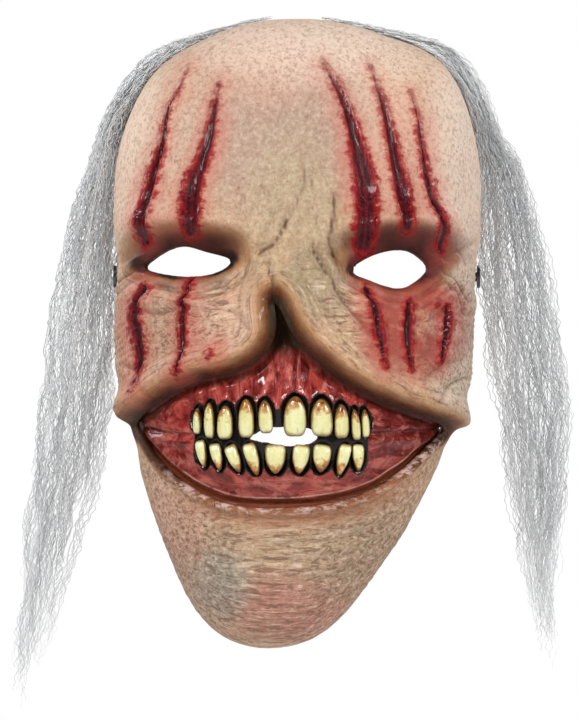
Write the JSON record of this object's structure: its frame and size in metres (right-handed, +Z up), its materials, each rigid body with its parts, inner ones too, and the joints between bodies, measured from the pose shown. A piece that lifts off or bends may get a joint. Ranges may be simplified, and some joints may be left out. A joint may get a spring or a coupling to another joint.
{
  "type": "latex halloween mask",
  "caption": "Monster face mask in cast latex with a torn mouth baring gums and teeth, long thin hair at the temples, and an elastic strap that holds it on the wearer's head.",
  "frame": {"origin": "middle of the axis through both strap rivets, between the wearer's temples", "axes": "+X to the wearer's left, +Y from the face back through the wearer's head, +Z up"},
  "size_m": [0.2439, 0.2023, 0.3095],
  "materials": {
    "skin": "cast latex, painted, satin with wet patches",
    "gum": "cast latex, painted red, glossy",
    "tooth": "cast resin, yellowed and stained at the root",
    "hair": "crimped synthetic hair, silver grey",
    "weft": "sewn weft band",
    "patch": "glued cloth reinforcement",
    "elastic": "woven elastic, black",
    "metal": "nickel plated",
    "plastic": "moulded, black"
  },
  "bodies": {
    "mask": {"face_skin": "skin", "gum_casting": "gum", "upper_tooth_1": "tooth", "upper_tooth_2": "tooth", "upper_tooth_3": "tooth", "upper_tooth_4": "tooth", "upper_tooth_5": "tooth", "upper_tooth_6": "tooth", "upper_tooth_7": "tooth", "upper_tooth_8": "tooth", "upper_tooth_9": "tooth", "upper_tooth_10": "tooth", "lower_tooth_1": "tooth", "lower_tooth_2": "tooth", "lower_tooth_3": "tooth", "lower_tooth_4": "tooth", "lower_tooth_5": "tooth", "lower_tooth_6": "tooth", "lower_tooth_7": "tooth", "lower_tooth_8": "tooth", "lower_tooth_9": "tooth", "hair_weft_right": "weft", "hair_crown_right": "hair", "anchor_patch_right": "patch", "strap_rivet_right": "metal", "strap_washer_right": "metal", "hair_weft_left": "weft", "hair_crown_left": "hair", "anchor_patch_left": "patch", "strap_rivet_left": "metal", "strap_washer_left": "metal"},
    "strap": {"elastic_strap": "elastic"},
    "adjuster": {"slide_adjuster": "plastic"},
    "hair_right": {"hair_lock_right_front_1": "hair", "hair_lock_right_front_2": "hair", "hair_lock_right_front_3": "hair", "hair_lock_right_front_4": "hair", "hair_lock_right_back_1": "hair", "hair_lock_right_back_2": "hair", "hair_lock_right_back_3": "hair"},
    "hair_left": {"hair_lock_left_front_1": "hair", "hair_lock_left_front_2": "hair", "hair_lock_left_front_3": "hair", "hair_lock_left_front_4": "hair", "hair_lock_left_back_1": "hair", "hair_lock_left_back_2": "hair", "hair_lock_left_back_3": "hair"}
  },
  "joints": [
    {"name": "strap_swing", "type": "hinge", "parent": "mask", "child": "strap", "pos_m": [0, 0, 0], "axis": [1, 0, 0], "range_deg": [-35, 35]},
    {"name": "adjuster_slide", "type": "slide", "parent": "strap", "child": "adjuster", "axis": [1, 0, 0], "range_m": [-0.025, 0.025]},
    {"name": "hair_right_swing", "type": "hinge", "parent": "mask", "child": "hair_right", "pos_m": [-0.088, 0.008, 0.058], "axis": [0, 1, 0], "range_deg": [0, 20]},
    {"name": "hair_left_swing", "type": "hinge", "parent": "mask", "child": "hair_left", "pos_m": [0.088, 0.008, 0.058], "axis": [0, -1, 0], "range_deg": [0, 20]}
  ]
}
